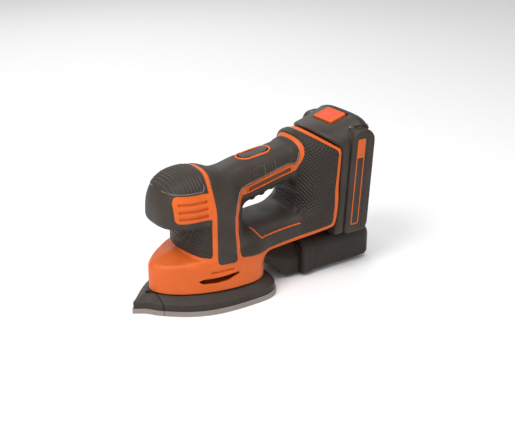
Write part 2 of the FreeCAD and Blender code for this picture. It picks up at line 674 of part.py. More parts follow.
# ---------------------------------------------------------------- control board and leads
shape_piece("control_board", block((116.5, -24, 70), (118.1, 24, 108)))
LEADS = [[(115.4, 4, 96), (92, 4, 98.5), (83, 4, 99.5), (76, 4, 101.4)],
         [(45.1, 0, 100.4), (30, 0, 99.5), (21, 8, 96.2)]]


def lead(points, radius=1.1):
    """A short insulated wire run through the points, round at its bends."""
    solid = Part.makeSphere(radius, Vector(*points[0]))
    for start, end in zip(points, points[1:]):
        a, b = Vector(*start), Vector(*end)
        solid = solid.fuse([Part.makeCylinder(radius, (b - a).Length, a, b - a),
                            Part.makeSphere(radius, b)])
    return solid


shape_piece("power_leads", Part.makeCompound([lead(points) for points in LEADS]))

# ---------------------------------------------------------------- dust duct and canister
start = dim("canister_front")
half = dim("duct_half_width")
base_height, can_height = dim("canister_base"), dim("canister_height")
duct_top = 41.5


def duct_solid(inset, front, back):
    """The channel that carries dust from the skirt back to the canister."""
    low = base_height + inset
    side = [(front, duct_top + 3 - inset), (front, 27.5 + inset), (66, 21 + inset),
            (83, low - 0.2), (back, low), (back, base_height + can_height - 2 - inset),
            (start - 6, duct_top - inset - 2)]
    return side_prism(side, half - inset)


duct_wall = dim("duct_wall")
spigot_end = start + dim("spigot_length")
channel = duct_solid(duct_wall, 40, spigot_end + 5)
spigot = block((start - 3, -half + 3, base_height + 4), (spigot_end, half - 3,
                                                         base_height + can_height - 5))
duct = duct_solid(0, 48, start - 0.4).cut(outer).fuse(spigot)
spigot_bore = block((start - 8, -half + 5, base_height + 6),
                    (spigot_end + 1, half - 5, base_height + can_height - 7))
duct = duct.cut(channel.common(block((0, -FAR, -FAR), (start - 3, FAR, FAR)))).cut(spigot_bore)
shape_piece("dust_duct", largest(duct))

wide, long = dim("canister_half_width"), dim("canister_length")
thin, fit_gap = dim("canister_wall"), 0.5
rim_long, rim_up = dim("rim_length"), dim("rim_raise")
can_box = soft_block((start, -wide, base_height), (start + long, wide, base_height + can_height), 9)
can_room = soft_block((start + thin, -wide + thin, base_height + thin),
                      (start + long - thin, wide - thin, base_height + can_height - thin), 7)
mouth = block((start - 2, -half + 3 - fit_gap, base_height + 4 - fit_gap),
              (start + 8, half - 3 + fit_gap, base_height + can_height - 5 + fit_gap))
shape_piece("dust_canister", can_box.cut(can_room).cut(mouth))
rim_box = soft_block((start + 0.5, -wide - rim_up, base_height - rim_up / 2),
                     (start + rim_long, wide + rim_up, base_height + can_height + 0.2), 6)
shape_piece("canister_rim", rim_box.cut([can_box, mouth]))
frame_low, frame_high = start + dim("spigot_length") + 2.5, start + dim("spigot_length") + 5.5
frame_box = block((frame_low, -wide + 4, base_height + 5), (frame_high, wide - 4,
                                                            base_height + can_height - 5))
frame_ring = block((frame_low, -wide + thin, base_height + thin + 4),
                   (frame_high, wide - thin, base_height + can_height - thin - 4))
window = block((frame_low - 1, -wide + 8, base_height + 8), (frame_high + 1, wide - 8,
                                                             base_height + can_height - 8))
shape_piece("filter_frame", frame_box.fuse(frame_ring).cut(window).common(can_room))
PLEATS = 9
pleats = [(frame_high, -wide + 6), (frame_high + 1.2, -wide + 6)]
pitch_y = (2 * wide - 12) / PLEATS
for i in range(PLEATS):
    pleats += [(frame_high + 26, -wide + 6 + (i + 0.45) * pitch_y),
               (frame_high + 26, -wide + 6 + (i + 0.55) * pitch_y),
               (frame_high + 1.2, -wide + 6 + (i + 1) * pitch_y)]
pleats += [(frame_high, wide - 6)]
ring = [Vector(x, y, base_height + 7) for x, y in pleats + [(frame_high, -wide + 6)]]
element = Part.Face(Part.makePolygon(ring)).extrude(Vector(0, 0, can_height - 14))
shape_piece("filter_element", element)

# ---------------------------------------------------------------- housing halves and skins
VENT_SLOTS = [(-31, 89.5), (-32, 94.5), (-32, 99.5), (-31, 104.5)]
outlet = block((40, -14, skirt_base + 5), (64, 14, dim("plate_height") - 2))
side_slot = block((-24, -FAR, 30.5), (14, -30, 36))
for side, name in ((-1, "left"), (1, "right")):
    half_shell = one_side(core, side)
    bosses = [Part.makeCylinder(boss_radius, FAR, Vector(x, 0, z), Vector(0, side, 0))
              for x, z in SCREWS]
    half_shell = half_shell.fuse([b.common(hollow) for b in bosses])
    bores = [Part.makeCylinder(dim("screw_radius"), dim("screw_length") - 6, Vector(x, 0, z),
                               Vector(0, side, 0)) for x, z in SCREWS]
    if side > 0:
        bores = [b.fuse(Part.makeCylinder(dim("screw_head_radius"), FAR,
                                          Vector(b.BoundBox.Center.x, dim("screw_length") - 6,
                                                 b.BoundBox.Center.z), Vector(0, 1, 0)))
                 for b in bores]
    far_side = 14 if side > 0 else -FAR
    vents = [block((x, far_side, z), (x + 22, far_side + FAR - 14, z + 2.2))
             for x, z in VENT_SLOTS]
    openings = [outlet, bezel_hole, throat] + ([side_slot] if side < 0 else []) + bores + vents
    half_shell = half_shell.cut(Part.makeCompound(openings))
    shape_piece(f"{name}_housing", largest(half_shell))
    grip = one_side(skins["grip"], side).cut(bezel_hole)
    sink = [] if side < 0 else [Part.makeCylinder(dim("screw_head_radius"), FAR, Vector(x, 0, z),
                                                  Vector(0, 1, 0)) for x, z in SCREWS]
    frame_skin = one_side(skins["frame_skin"], side)
    if sink:
        grip = grip.cut(Part.makeCompound(sink))
        frame_skin = frame_skin.cut(Part.makeCompound(sink))
    shape_piece(f"{name}_grip", largest(grip))
    shape_piece(f"{name}_frame_skin", largest(frame_skin))
head_low, reach = dim("screw_length") - 6, dim("screw_length") - 6
screws = [Part.makeCylinder(dim("screw_radius"), 2 * reach, Vector(x, -reach, z), Vector(0, 1, 0))
          .fuse(Part.makeCylinder(dim("screw_head_radius"), dim("screw_head_height"),
                                  Vector(x, head_low, z), Vector(0, 1, 0))) for x, z in SCREWS]
shape_piece("housing_screws", Part.makeCompound(screws))

# ---------------------------------------------------------------- checks and files
doc.recompute()
for thing in doc.Objects:
    if "Invalid" in thing.State or "Error" in thing.State:
        raise RuntimeError(f"{thing.Name} failed: {thing.State}")
os.makedirs("parts", exist_ok=True)
faulty = [piece.Label for piece in pieces
          if piece.Shape.isNull() or not piece.Shape.isValid() or piece.Shape.Volume <= 0]
if faulty:
    raise RuntimeError(f"no valid shape: {faulty}")
for piece in pieces:
    piece.Shape.exportStep(f"parts/{piece.Label}.step")
print(len(pieces), "sub-parts written")
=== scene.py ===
import json
import math

import bpy
import numpy as np
import openvdb
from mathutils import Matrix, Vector


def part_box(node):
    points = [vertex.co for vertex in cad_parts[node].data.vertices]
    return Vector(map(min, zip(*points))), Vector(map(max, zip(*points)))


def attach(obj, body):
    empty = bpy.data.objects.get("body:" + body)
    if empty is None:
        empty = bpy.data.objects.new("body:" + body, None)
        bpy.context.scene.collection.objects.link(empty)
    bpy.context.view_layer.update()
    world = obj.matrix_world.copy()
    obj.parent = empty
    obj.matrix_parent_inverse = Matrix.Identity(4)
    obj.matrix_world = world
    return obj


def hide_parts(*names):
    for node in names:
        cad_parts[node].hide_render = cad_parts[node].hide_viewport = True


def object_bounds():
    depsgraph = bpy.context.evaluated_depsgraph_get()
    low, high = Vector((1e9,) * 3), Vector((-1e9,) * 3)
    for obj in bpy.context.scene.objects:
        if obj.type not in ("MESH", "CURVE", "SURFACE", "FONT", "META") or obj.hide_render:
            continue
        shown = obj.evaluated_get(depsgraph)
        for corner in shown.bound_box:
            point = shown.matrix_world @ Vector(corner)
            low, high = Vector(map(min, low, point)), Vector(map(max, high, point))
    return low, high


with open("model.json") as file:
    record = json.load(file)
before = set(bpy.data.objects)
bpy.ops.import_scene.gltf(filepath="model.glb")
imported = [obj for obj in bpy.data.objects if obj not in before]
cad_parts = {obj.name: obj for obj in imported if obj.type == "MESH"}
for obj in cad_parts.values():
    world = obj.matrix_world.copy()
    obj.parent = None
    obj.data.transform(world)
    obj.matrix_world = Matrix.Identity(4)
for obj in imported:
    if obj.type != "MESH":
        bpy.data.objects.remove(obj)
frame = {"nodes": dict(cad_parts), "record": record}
start_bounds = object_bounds()


# ------------------------------------------------------------------ studio
# The tool stands on a plain white sweep under broad soft lights, with one key light high on
# the left and weak fills behind and to the right, so that its shadows stay pale.
def ball_point(azimuth, elevation, distance, centre):
    """A point seen from the centre at an azimuth (0 is towards -Y) and an elevation."""
    a, e = math.radians(azimuth), math.radians(elevation)
    away = Vector((math.sin(a) * math.cos(e), -math.cos(a) * math.cos(e), math.sin(e)))
    return centre + distance * away


def aim(thing, target):
    thing.rotation_mode = "QUATERNION"
    thing.rotation_quaternion = (target - thing.location).to_track_quat("-Z", "Y")


scene = bpy.context.scene
middle = (start_bounds[0] + start_bounds[1]) / 2
VIEW_AZIMUTH, VIEW_ELEVATION = -34.0, 23.5
CAMERA_AT = Vector((-0.4103, -0.7036, 0.4269))
camera = bpy.data.objects.new("camera", bpy.data.cameras.new("camera"))
scene.collection.objects.link(camera)
camera.location = CAMERA_AT
aim(camera, CAMERA_AT - ball_point(VIEW_AZIMUTH, VIEW_ELEVATION, 1.0, Vector()))
camera.data.sensor_width = 36.0
camera.data.lens = 69.9
camera.data.clip_start, camera.data.clip_end = 0.01, 30.0
scene.camera = camera
scene.view_settings.view_transform = "Standard"

LIGHTS = {  # azimuth, elevation, distance, size, watts
    "key": (-75, 52, 1.1, 0.5, 7.0),
    "top": (20, 80, 1.2, 0.7, 5.0),
    "front": (-5, 25, 1.5, 1.0, 1.5),
    "rim": (165, 35, 1.3, 0.8, 3.0),
}
for light_name, (azimuth, elevation, distance, size, watts) in LIGHTS.items():
    lamp = bpy.data.objects.new(light_name, bpy.data.lights.new(light_name, "AREA"))
    scene.collection.objects.link(lamp)
    lamp.location = ball_point(azimuth, elevation, distance, middle)
    aim(lamp, middle)
    lamp.data.size = size
    lamp.data.energy = watts
world = bpy.data.worlds.new("sky")
world.use_nodes = True
world.node_tree.nodes["Background"].inputs["Color"].default_value = (1, 1, 1, 1)
world.node_tree.nodes["Background"].inputs["Strength"].default_value = 0.5
scene.world = world


class Value:
    """A shader value that adds, subtracts and multiplies like a number."""

    def __init__(self, tree, socket):
        self.tree, self.socket = tree, socket

    def make(self, kind, inputs, output=0, **settings):
        """Any other node, fed with values or plain numbers."""
        node = self.tree.nodes.new(kind)
        for key, setting in settings.items():
            setattr(node, key, setting)
        for key, item in inputs.items():
            if isinstance(item, Value):
                self.tree.links.new(item.socket, node.inputs[key])
            else:
                node.inputs[key].default_value = item
        return Value(self.tree, node.outputs[output])

    def maths(self, how, *items):
        return self.make("ShaderNodeMath", dict(enumerate(items)), operation=how)

    def __add__(self, other):
        return self.maths("ADD", self, other)

    def __sub__(self, other):
        return self.maths("SUBTRACT", self, other)

    def __rsub__(self, other):
        return self.maths("SUBTRACT", other, self)

    def __mul__(self, other):
        return self.maths("MULTIPLY", self, other)

    __radd__, __rmul__ = __add__, __mul__

    def ramp(self, low, high):
        """0 at low and 1 at high, smooth between."""
        return self.make("ShaderNodeMapRange", {0: self, 1: low, 2: high}, interpolation_type="SMOOTHSTEP")

    def noise(self, scale, detail=3.0):
        return self.make("ShaderNodeTexNoise", {"Vector": self, "Scale": scale, "Detail": detail})

    def axis(self, index):
        return self.make("ShaderNodeSeparateXYZ", {0: self}, output=index)

    def mix(self, first, second):
        """Between two colours, by this value."""
        return self.make("ShaderNodeMix", {"Factor": self, 6: first, 7: second}, output=2,
                         data_type="RGBA")


def surface(name, colour, roughness, metallic=0.0, coat=0.0, grain=(1400, 0.05), mottle=0.05,
            wear=0.15, relief=None, depth=0.0002):
    """A moulded or metal finish: fine grain, slight mottling, worn edges, settled dust, and painted shade
    in any relief's hollows.
    """
    material = bpy.data.materials.new(name)
    material.use_nodes = True
    tree = material.node_tree
    shader = tree.nodes["Principled BSDF"]
    place = Value(tree, tree.nodes.new("ShaderNodeTexCoord").outputs["Object"])
    bright = [min(1.0, c * (1 + mottle) + 0.004) for c in colour] + [1.0]
    dull = [c * (1 - mottle) for c in colour] + [1.0]
    worn = [min(1.0, c * 1.25 + 0.02) for c in colour] + [1.0]
    cloud = place.noise(35.0).ramp(0.35, 0.65)
    edge = Value(tree, tree.nodes.new("ShaderNodeNewGeometry").outputs["Pointiness"])
    rubbed = edge.ramp(0.52, 0.62) * place.noise(140.0).ramp(0.4, 0.7) * wear
    shade = rubbed.mix(cloud.mix(dull, bright), worn)
    smudge = place.noise(60.0, 5.0).ramp(0.3, 0.75)
    gloss = roughness - 0.05 + 0.1 * smudge - rubbed * 0.2
    height = place.noise(grain[0]) * grain[1]
    if relief is not None:
        pattern = relief(place)
        height = height + pattern
        # painted shade: the colour darkens to 0.62 of itself in the relief's hollows, standing in for
        # shade between the dots
        shade = pattern.ramp(-0.7, 0.8).mix([c * 0.62 for c in colour] + [1.0], shade)
    bump = place.make("ShaderNodeBump", {"Strength": 1.0, "Distance": depth, "Height": height})
    tree.links.new(shade.socket, shader.inputs["Base Color"])
    tree.links.new(gloss.socket, shader.inputs["Roughness"])
    tree.links.new(bump.socket, shader.inputs["Normal"])
    shader.inputs["Metallic"].default_value = metallic
    shader.inputs["Specular IOR Level"].default_value = 0.5 if metallic else 0.3
    shader.inputs["Coat Weight"].default_value = coat
    return material


def dots(pitch, angle=0.6, start=-1.0):
    """Rows of small raised dots, seen from the side, from some x rearwards."""
    def relief(place):
        wave = 2 * math.pi / pitch
        x, z = place.axis(0), place.axis(2)
        one = (x * math.cos(angle) + z * math.sin(angle)) * wave
        two = (z * math.cos(angle) - x * math.sin(angle)) * wave
        rows = (one.maths("SINE", one) + two.maths("SINE", two)) * 0.5
        return rows * x.ramp(start, start + 0.008) + (1.0 - x.ramp(start, start + 0.008)) * 0.6
    return relief


floor_mesh = bpy.data.meshes.new("floor")
floor_mesh.from_pydata([(-4, -4, 0), (4, -4, 0), (4, 4, 0), (-4, 4, 0)], [], [(0, 1, 2, 3)])
floor = bpy.data.objects.new("floor", floor_mesh)
scene.collection.objects.link(floor)
floor.location.z = start_bounds[0].z
floor.data.materials.append(surface("sweep", (0.95, 0.95, 0.95), 0.8, mottle=0.0, wear=0.0))


# ------------------------------------------------------------------ housing form
# Two halves of the orange housing meet on the middle plane: a palm knob over the motor's
# column, a skirt over the pad, and an open handle that runs back to the battery's seat.
# Lengths here are millimetres in the part's own frame; fields are distances to a surface.
STEP = 0.55
BAND = 3 * STEP


def line(low, high, step=STEP):
    count = int(math.ceil((high - low) / step)) + 1
    return np.linspace(low, high, count, dtype=np.float32)


def meet(a, b, radius):
    """The overlap of two fields, with its edge rounded."""
    p, q = a + radius, b + radius
    return (np.minimum(np.maximum(p, q), 0) + np.hypot(np.maximum(p, 0), np.maximum(q, 0))
            - radius)


def blend_in(a, b, reach):
    """The union of two fields, with a fillet between them."""
    near = np.maximum(reach - np.abs(a - b), 0)
    return np.minimum(a, b) - near * near / (4 * reach)


def outline_distance(points, u, v):
    """Signed distance to a closed outline, negative inside, on the open grid u by v."""
    u, v = np.broadcast_arrays(u, v)
    best = np.full(u.shape, 1e9, np.float32)
    inside = np.zeros(u.shape, bool)
    ring = np.asarray(points, np.float32)
    for (ax, ay), (bx, by) in zip(ring, np.roll(ring, -1, axis=0)):
        ex, ey = bx - ax, by - ay
        share = np.clip(((u - ax) * ex + (v - ay) * ey) / max(ex * ex + ey * ey, 1e-9), 0, 1)
        best = np.minimum(best, (u - ax - share * ex) ** 2 + (v - ay - share * ey) ** 2)
        if ay != by:
            inside ^= ((ay > v) != (by > v)) & (u < ex * (v - ay) / (by - ay) + ax)
    best = np.sqrt(best)
    return np.where(inside, -best, best)


def path_distance(points, u, v):
    """Distance to an open path on the open grid u by v."""
    u, v = np.broadcast_arrays(u, v)
    best = np.full(u.shape, 1e9, np.float32)
    for (ax, ay), (bx, by) in zip(points, points[1:]):
        ex, ey = bx - ax, by - ay
        share = np.clip(((u - ax) * ex + (v - ay) * ey) / (ex * ex + ey * ey), 0, 1)
        best = np.minimum(best, (u - ax - share * ex) ** 2 + (v - ay - share * ey) ** 2)
    return np.sqrt(best)


def filleted(points, radius):
    """The closed outline with each corner eased by up to the radius."""
    ring = [Vector(p) for p in points]
    made = []
    for i, here in enumerate(ring):
        back, on = ring[i - 1] - here, ring[(i + 1) % len(ring)] - here
        cut = min(radius, 0.48 * back.length, 0.48 * on.length)
        start, end = here + back.normalized() * cut, here + on.normalized() * cut
        for k in range(7):
            s = k / 6
            made.append(tuple((1 - s) ** 2 * start + 2 * s * (1 - s) * here + s * s * end))
    return made


def along(x, stations):
    """Smooth values along x, through stations that start with their own x."""
    table = np.asarray(stations, np.float32)
    xs, values = table[:, 0], table[:, 1:]
    slopes = np.gradient(values, xs, axis=0)
    x = np.clip(x.ravel(), xs[0], xs[-1])
    i = np.clip(np.searchsorted(xs, x) - 1, 0, len(xs) - 2)
    width = (xs[i + 1] - xs[i])[:, None]
    s = (x[:, None] - xs[i][:, None]) / width
    a, b = values[i], values[i + 1]
    c, d = slopes[i] * width, slopes[i + 1] * width
    out = ((2 * s**3 - 3 * s**2 + 1) * a + (s**3 - 2 * s**2 + s) * c
           + (3 * s**2 - 2 * s**3) * b + (s**3 - s**2) * d)
    return [column[:, None, None].astype(np.float32) for column in out.T]


def tube(x, y, z, stations, under=None):
    """A run along x whose section is a superellipse: x, low, high, half width, exponent."""
    low, high, half, power = along(x, stations)
    tall = (high - low) / 2
    if under is not None:
        power = np.where(z < (low + high) / 2, under, power)
    u = np.abs(y) / half
    v = np.abs(z - (low + high) / 2) / tall
    u, v = np.maximum(u, 1e-4), np.maximum(v, 1e-4)
    size = (u**power + v**power) ** (1 / power)
    slope = np.hypot(u ** (power - 1) / half, v ** (power - 1) / tall) / size ** (power - 1)
    field = (size - 1) / slope
    return np.maximum(field, np.maximum(stations[0][0] - x, x - stations[-1][0]))


def egg(x, y, z, centre, sizes, power):
    """A squarish ellipsoid."""
    shares = [np.maximum(np.abs(p - c) / s, 1e-4) for p, c, s in zip((x, y, z), centre, sizes)]
    size = sum(share**power for share in shares) ** (1 / power)
    slope = np.sqrt(sum((share ** (power - 1) / s) ** 2 for share, s in zip(shares, sizes)))
    return (size - 1) / slope * size ** (power - 1)


def teardrop(nose, wide_at, tail, half, sharp, swell, square, count=60):
    """Points of a plan outline that swells from a nose at -x and ends in a squarish tail."""
    s = np.linspace(0, 1, count) ** 1.6
    front = np.stack([nose + s * (wide_at - nose), half * (1 - (1 - s) ** sharp) ** swell], 1)
    t = np.sin(np.linspace(0, math.pi / 2, count))
    back = np.stack([wide_at + t * (tail - wide_at),
                     half * np.maximum(1 - t**square, 0) ** (1 / square)], 1)
    half_ring = np.vstack([front, back[1:]])
    return np.vstack([half_ring, (half_ring * (1, -1))[-2:0:-1]])


SKIRT_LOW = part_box("platen")[1].z * 1000 + 1.2
SKIRT_PLAN = teardrop(-49.5, 25, 58.5, 38.5, 2.0, 0.58, 2.6)
SKIRT_TOP = [(-60, 41.5), (-49.5, 43), (-22, 52), (-4, 50), (30, 49.5), (44, 49), (70, 48)]
HANDLE = [(0, 80, 113.5, 27, 2.3), (16, 78, 115.6, 22, 2.4), (28, 79, 118.6, 20, 2.5),
          (41, 82, 121.6, 19.6, 2.6), (60, 86.5, 124.0, 19.3, 2.6), (78, 91.5, 126.0, 19.2, 2.6),
          (97, 93, 129.0, 20.5, 2.6), (112, 93, 131, 22, 2.6)]
BEAM = [(18, 40.0, 66, 35.0, 3.0), (34, 37.8, 65, 31.5, 2.8), (52, 36.4, 64.3, 28.8, 2.6),
        (70, 37.6, 65.0, 28.6, 2.6), (90, 40.2, 66.0, 30.5, 2.8), (112, 44.2, 76, 35.5, 3.6),
        (134, 48.4, 90, 38, 4.5)]
TOWER = [(96, 60, 129, 17, 2.6), (101, 53, 136, 25, 3.0), (107, 49.5, 137.5, 31.5, 4.0),
         (115, 48.3, 139, 36.2, 5.0), (125, 49.0, 141, 37.8, 6.0), (136, 50.0, 141, 38.4, 6.5)]
SEAT = [(-90, -20), (120.5, -20), (125.3, 46), (126.2, 54), (131.2, 124), (110.3, 138.6),
        (100, 145), (60, 190), (-90, 190)]


def housing_field(x, y, z):
    """Distance to the whole outer form of the housing."""
    plan = outline_distance(SKIRT_PLAN, x[:, :, 0], y[:, :, 0])[:, :, None]
    (top,) = along(x, SKIRT_TOP)
    fall = np.clip((-6 - x) / 20, 0, 1) * 0.27 + 0.05
    crest = np.sqrt(y * y + 9) - 3
    skirt = np.maximum(meet(plan, (z - top + fall * crest) * 0.93, 4.0), SKIRT_LOW - z)
    column = egg(x, y, np.maximum(z, 85), (8, 0, 85), (29, 37, 29), 2.15)
    column = np.maximum(column, 40 - z)
    rear = np.where(x > -8, 31.0, 36.8)
    knob = egg((x + 8) * 36.8 / rear, y, z, (0, 0, 83.3), (36.8, 32.1, 40.3), 2.64)
    knob = meet(knob, 79.0 - z, 5.0)
    form = blend_in(skirt, column, 2.5)
    form = blend_in(form, knob, 3.0)
    form = blend_in(form, tube(x, y, z, HANDLE), 10.0)
    back = blend_in(tube(x, y, z, BEAM, 9.0), tube(x, y, z, TOWER), 9.0)
    form = blend_in(form, back, 9.0)
    roof = (z - 138.9 + 15.3 * (np.abs(y) / 38) ** 1.45) * 0.93
    form = meet(form, roof, 4.0)
    seat = outline_distance(SEAT, x[:, 0, :], z[:, 0, :])[:, None, :]
    return meet(form, seat, 0.8)


gx = line(-54, 134)[:, None, None]
gy = line(-43, 0)[None, :, None]
gz = line(14, 142)[None, None, :]
body = housing_field(gx, gy, gz)


def side(points, radius=2.0):
    """Signed distance to a side-view region over the housing's grid."""
    return outline_distance(filleted(points, radius), gx[:, 0, :], gz[:, 0, :])[:, None, :]


def sample(values, spots):
    """Trilinear values of a grid at spots given in grid steps."""
    top = np.array(values.shape) - 2
    base = np.clip(np.floor(spots).astype(int), 0, top)
    share = spots - base
    out = 0
    for corner in range(8):
        bits = np.array([(corner >> k) & 1 for k in range(3)])
        weight = np.prod(np.where(bits, share, 1 - share), axis=1)
        at = base + bits
        out = out + weight * values[at[:, 0], at[:, 1], at[:, 2]]
    return out


def mesh_object(name, points, faces, normals):
    """An object from points in metres, four-sided faces and smooth normals."""
    mesh = bpy.data.meshes.new(name)
    mesh.vertices.add(len(points))
    mesh.vertices.foreach_set("co", np.asarray(points, np.float32).ravel())
    mesh.loops.add(faces.size)
    mesh.loops.foreach_set("vertex_index", faces.astype(np.int32).ravel())
    mesh.polygons.add(len(faces))
    mesh.polygons.foreach_set("loop_start", np.arange(0, faces.size, 4, dtype=np.int32))
    mesh.update(calc_edges=True)
    mesh.validate()
    mesh.shade_smooth()
    mesh.normals_split_custom_set_from_vertices(normals)
    thing = bpy.data.objects.new(name, mesh)
    scene.collection.objects.link(thing)
    return thing


def solid(name, field, x, y, z):
    """The surface where a field is zero. The field ends on the middle plane and is mirrored."""
    x, y, z = (np.asarray(a, np.float32).ravel() for a in (x, y, z))
    field = np.concatenate([field, field[:, -2::-1]], axis=1)
    steps = np.array([(a[-1] - a[0]) / (len(a) - 1) for a in (x, y, z)])
    held = np.clip(field, -BAND, BAND).astype(np.float32)
    grid = openvdb.FloatGrid(BAND)
    grid.copyFromArray(np.ascontiguousarray(held))
    spots, faces = grid.convertToQuads(0.0)
    slopes = [sample(g, spots) / s for g, s in zip(np.gradient(field), steps)]
    normals = np.stack(slopes, 1)
    normals /= np.maximum(np.linalg.norm(normals, axis=1, keepdims=True), 1e-9)
    points = (np.array([x[0], y[0], z[0]]) + spots * steps) / 1000
    a, b, c = (points[faces[:, k]] for k in (0, 1, 2))
    facing = np.einsum("ij,ij->i", np.cross(b - a, c - a), normals[faces[:, 0]])
    if np.mean(facing) < 0:
        faces = faces[:, ::-1]
    return mesh_object(name, points, faces, normals)


def crop(region):
    """Slices of the grid that hold a side-view region and 3 mm round it."""
    held = np.argwhere(region[:, 0, :] < 3)
    (i0, k0), (i1, k1) = held.min(axis=0), held.max(axis=0) + 1
    return slice(i0, i1), slice(k0, k1)


SKIN_THICK, SKIN_EDGE = 2.2, 0.5


def panel(name, region, shape, cover, material):
    """A skin over one side-view region of the housing, raised by cover, with soft edges."""
    i, k = crop(region)
    form = shape[i, :, k] - cover
    field = meet(form, region[i, :, k], SKIN_EDGE)
    field = np.maximum(field, -(form + SKIN_THICK + cover))
    thing = solid(name, field, gx[i], gy, gz[..., k])
    thing.data.materials.append(material)
    return thing


ORANGE = (0.70, 0.120, 0.012)
CHARCOAL = (0.039, 0.029, 0.0225)
orange = surface("orange_shell", ORANGE, 0.42, mottle=0.03, wear=0.1, grain=(1800, 0.08))
grip_dark = surface("soft_charcoal", CHARCOAL, 0.52, grain=(1600, 0.14))
shell_dark = surface("hard_charcoal", CHARCOAL, 0.46, grain=(2000, 0.1))
# the dotted finishes carry painted shade in the hollows between their dots
dotted = surface("dotted_charcoal", CHARCOAL, 0.5, relief=dots(0.0022), depth=0.0004)
tower_dotted = surface("tower_charcoal", CHARCOAL, 0.48, relief=dots(0.0022, start=0.088), depth=0.0004)

# regions of the side view
VENT = [(-36, 86.3), (-2, 86.3), (-2, 108.6), (-34, 109.2), (-36.5, 104)]
CAP = [(-62, 60), (-5, 60), (-5, 112), (-3.8, 118), (-0.4, 128), (-62, 128)]
PAD = [(-41.5, 111.6), (-36, 110.6), (-8.6, 110.6), (-7, 117), (-3.4, 128), (-41.5, 140)]
NECK = [(-45, 83), (-45, 55.5), (-30, 55), (-22, 52.2), (-14, 49.6), (-5, 48.8), (-5, 83)]
GRIP = [(-1, 42.4), (17.3, 42.4), (17.3, 84), (21, 92.5), (31, 100.0), (39, 102.6), (85.5, 113.4),
        (91.5, 112.2), (94.6, 115.5), (97.2, 121), (97.8, 128), (95, 134), (90, 142), (8, 142),
        (3, 124), (-1, 114)]
FRAME = [(21.5, 45.4), (36, 43.0), (52, 41.2), (62, 41.7), (78, 43.8), (93, 46.2), (111, 49.6),
         (122.5, 52.3), (123.6, 75.5), (126, 99.6), (127.8, 123), (107, 136.9), (100, 143), (93.5, 143),
         (98.6, 134.5), (100.8, 128.5), (100.2, 121), (97.4, 113.8), (93.0, 107.6), (88.5, 105.0),
         (42, 94.8), (34, 95.5), (27, 90.5), (22, 84)]
vent_region = side(VENT, 4.0)
pad_region = side(PAD, 3.0)
cap_region = np.maximum(np.maximum(side(CAP), 79.3 - gz), -vent_region + 0.3)
cap_region = np.maximum(cap_region, -pad_region - 1.2)



def carve(form, tool, depth):
    """The form with a tool's shape sunk into the housing's surface."""
    return np.maximum(form, -np.maximum(tool, -(body + depth)))


def switch_oval(x, y):
    """Signed distance in plan to the switch's oval."""
    return np.hypot(np.maximum(np.abs(x - switch_at) - switch_long + switch_half, 0), y) - switch_half


# three louvre slots with bars between, a crescent slot and a short engraved line below it, a
# fine seam on the middle plane, and the switch's opening
slots = np.full_like(vent_region, 9.0)
for level in (88.6, 94.6, 100.6):
    bar = [(-33, level), (-7.0, level), (-7.0, level + 2.6), (-33, level + 2.6)]
    slots = np.minimum(slots, side(bar, 1.1))
crescent = side([(-18, 28.6), (-14, 25.4), (0, 24.8), (10, 26.0), (20, 30.6), (19, 32.4),
                 (0, 30.4), (-14, 30.2)], 1.6)
engraved = side([(-7, 34.8), (14, 35.7), (14, 37.1), (-7, 36.2)], 0.5)
seam = np.maximum(np.abs(gy) - 0.25, gz - 54)
rim_box = [corner * 1000 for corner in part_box("switch_bezel")]
switch_at = (rim_box[0].x + rim_box[1].x) / 2
switch_long = (rim_box[1].x - rim_box[0].x) / 2
switch_half = rim_box[1].y
SWITCH_FLOOR = 112
opening = np.maximum(switch_oval(gx, gy) + 1.6, SWITCH_FLOOR - gz)
SHELL_WALL = 3.0
core = carve(carve(body, slots, 1.7), crescent, 4.0)
core = carve(carve(core, engraved, 1.3), seam, 0.5)
core = np.maximum(np.maximum(core, -(body + SHELL_WALL)), -opening)
core = np.maximum(core, SKIRT_LOW - gz)
shell = solid("housing_shell", core, gx, gy, gz)
shell.data.materials.append(orange)
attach(shell, "housing")
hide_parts("left_housing", "right_housing")


# ------------------------------------------------------------------ dark skins
# Soft charcoal overmoulds lie over the orange core: the palm cap with its ribbed rubber pad,
# the neck below it, the column and handle grip, and the frame round the finger hole.
def row(start, pitch):
    """0 at regular places along x and 1 midway between them."""
    return np.abs(np.sin(math.pi * (gx - start) / pitch))


COVER, STRIPE_HALF_WIDTH = 0.55, 0.6
ribbed = body - 0.7 + 1.1 * (1 - row(-12.0, 2.95)) ** 1.2
fin_row = row(45.0, 2.9)
hand_zone = side([(44, 105.0), (73, 112.0), (73, 119.5), (44, 115.5)], 1.5)
handled = body - np.where(hand_zone < 0, 1.1 * (1 - fin_row) ** 1.6, 0) * (np.abs(gy) > 9)
handled = np.maximum(handled, 0.6 - opening)
knuckles = (1 - row(50.0, 11.0)) ** 2
framed = body - 1.8 * knuckles * np.exp(-((gz - 84 - (gx - 45) * 0.17) / 5) ** 2) \
    * ((gx > 50) & (gx < 86))
accent = path_distance([(33.7, 74), (49, 53.5), (91, 58)], gx[:, 0, :], gz[:, 0, :])[:, None, :]
framed = framed + 0.9 * ((accent < STRIPE_HALF_WIDTH + 0.15) & (gy < -20))
neck_region = np.maximum(side(NECK, 3.0), gx + 5)
grip_region, frame_region = side(GRIP, 4.0), side(FRAME, 2.5)
SKINS = {
    "palm_cap": (cap_region, body, COVER, grip_dark, ("palm_cap",)),
    "palm_pad": (pad_region, ribbed, COVER, grip_dark, ("palm_pad",)),
    "neck_skin": (neck_region, body, 0.25, dotted, ("neck_skin",)),
    "grip_skin": (grip_region, handled, COVER, grip_dark, ("left_grip", "right_grip")),
    "frame_skin": (frame_region, framed, COVER, tower_dotted,
                   ("left_frame_skin", "right_frame_skin")),
}
for name, (region, shape, cover, material, stands_for) in SKINS.items():
    skin = panel(name, region, shape, cover, material)
    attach(skin, "housing")
    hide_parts(*stands_for)
